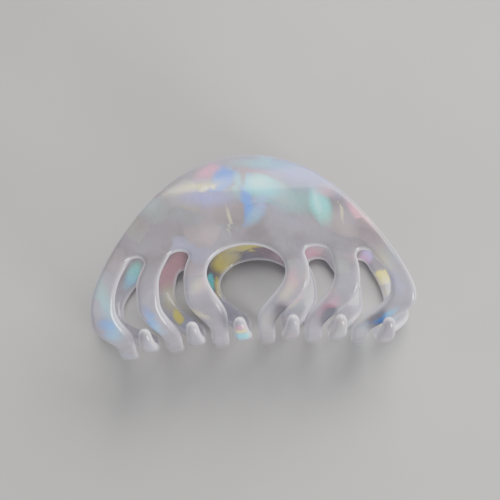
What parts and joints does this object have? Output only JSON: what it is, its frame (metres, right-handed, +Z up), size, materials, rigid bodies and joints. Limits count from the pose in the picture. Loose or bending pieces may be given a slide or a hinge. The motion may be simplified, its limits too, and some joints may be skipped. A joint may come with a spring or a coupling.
{
  "type": "claw clip",
  "caption": "Claw clip for hair with two identical domed jaws of curved teeth that turn on one hinge pin, held shut by a torsion spring.",
  "frame": {"origin": "bottom centre of the clip's box as it lies on its back jaw", "axes": "+X along the hinge pin, +Y towards the crest, where the two grips are pressed, +Z up through the front jaw"},
  "size_m": [0.0958, 0.06, 0.0443],
  "materials": {
    "acetate": "glossy pearl",
    "steel": "satin"
  },
  "bodies": {
    "back_half": {"back_jaw": "acetate", "back_outer_lug": "acetate", "back_inner_lug": "acetate", "hinge_pin": "steel", "pin_cap": "steel", "torsion_spring": "steel"},
    "front_half": {"front_jaw": "acetate", "front_outer_lug": "acetate", "front_inner_lug": "acetate"}
  },
  "joints": [
    {"name": "jaw_hinge", "type": "hinge", "parent": "back_half", "child": "front_half", "pos_m": [0, 0.01626, 0.02381], "axis": [-1, 0, 0], "range_deg": [0, 80], "stiffness_Nm_per_rad": 0.2, "springref_deg": -34.38, "deforming": ["torsion_spring"]}
  ]
}
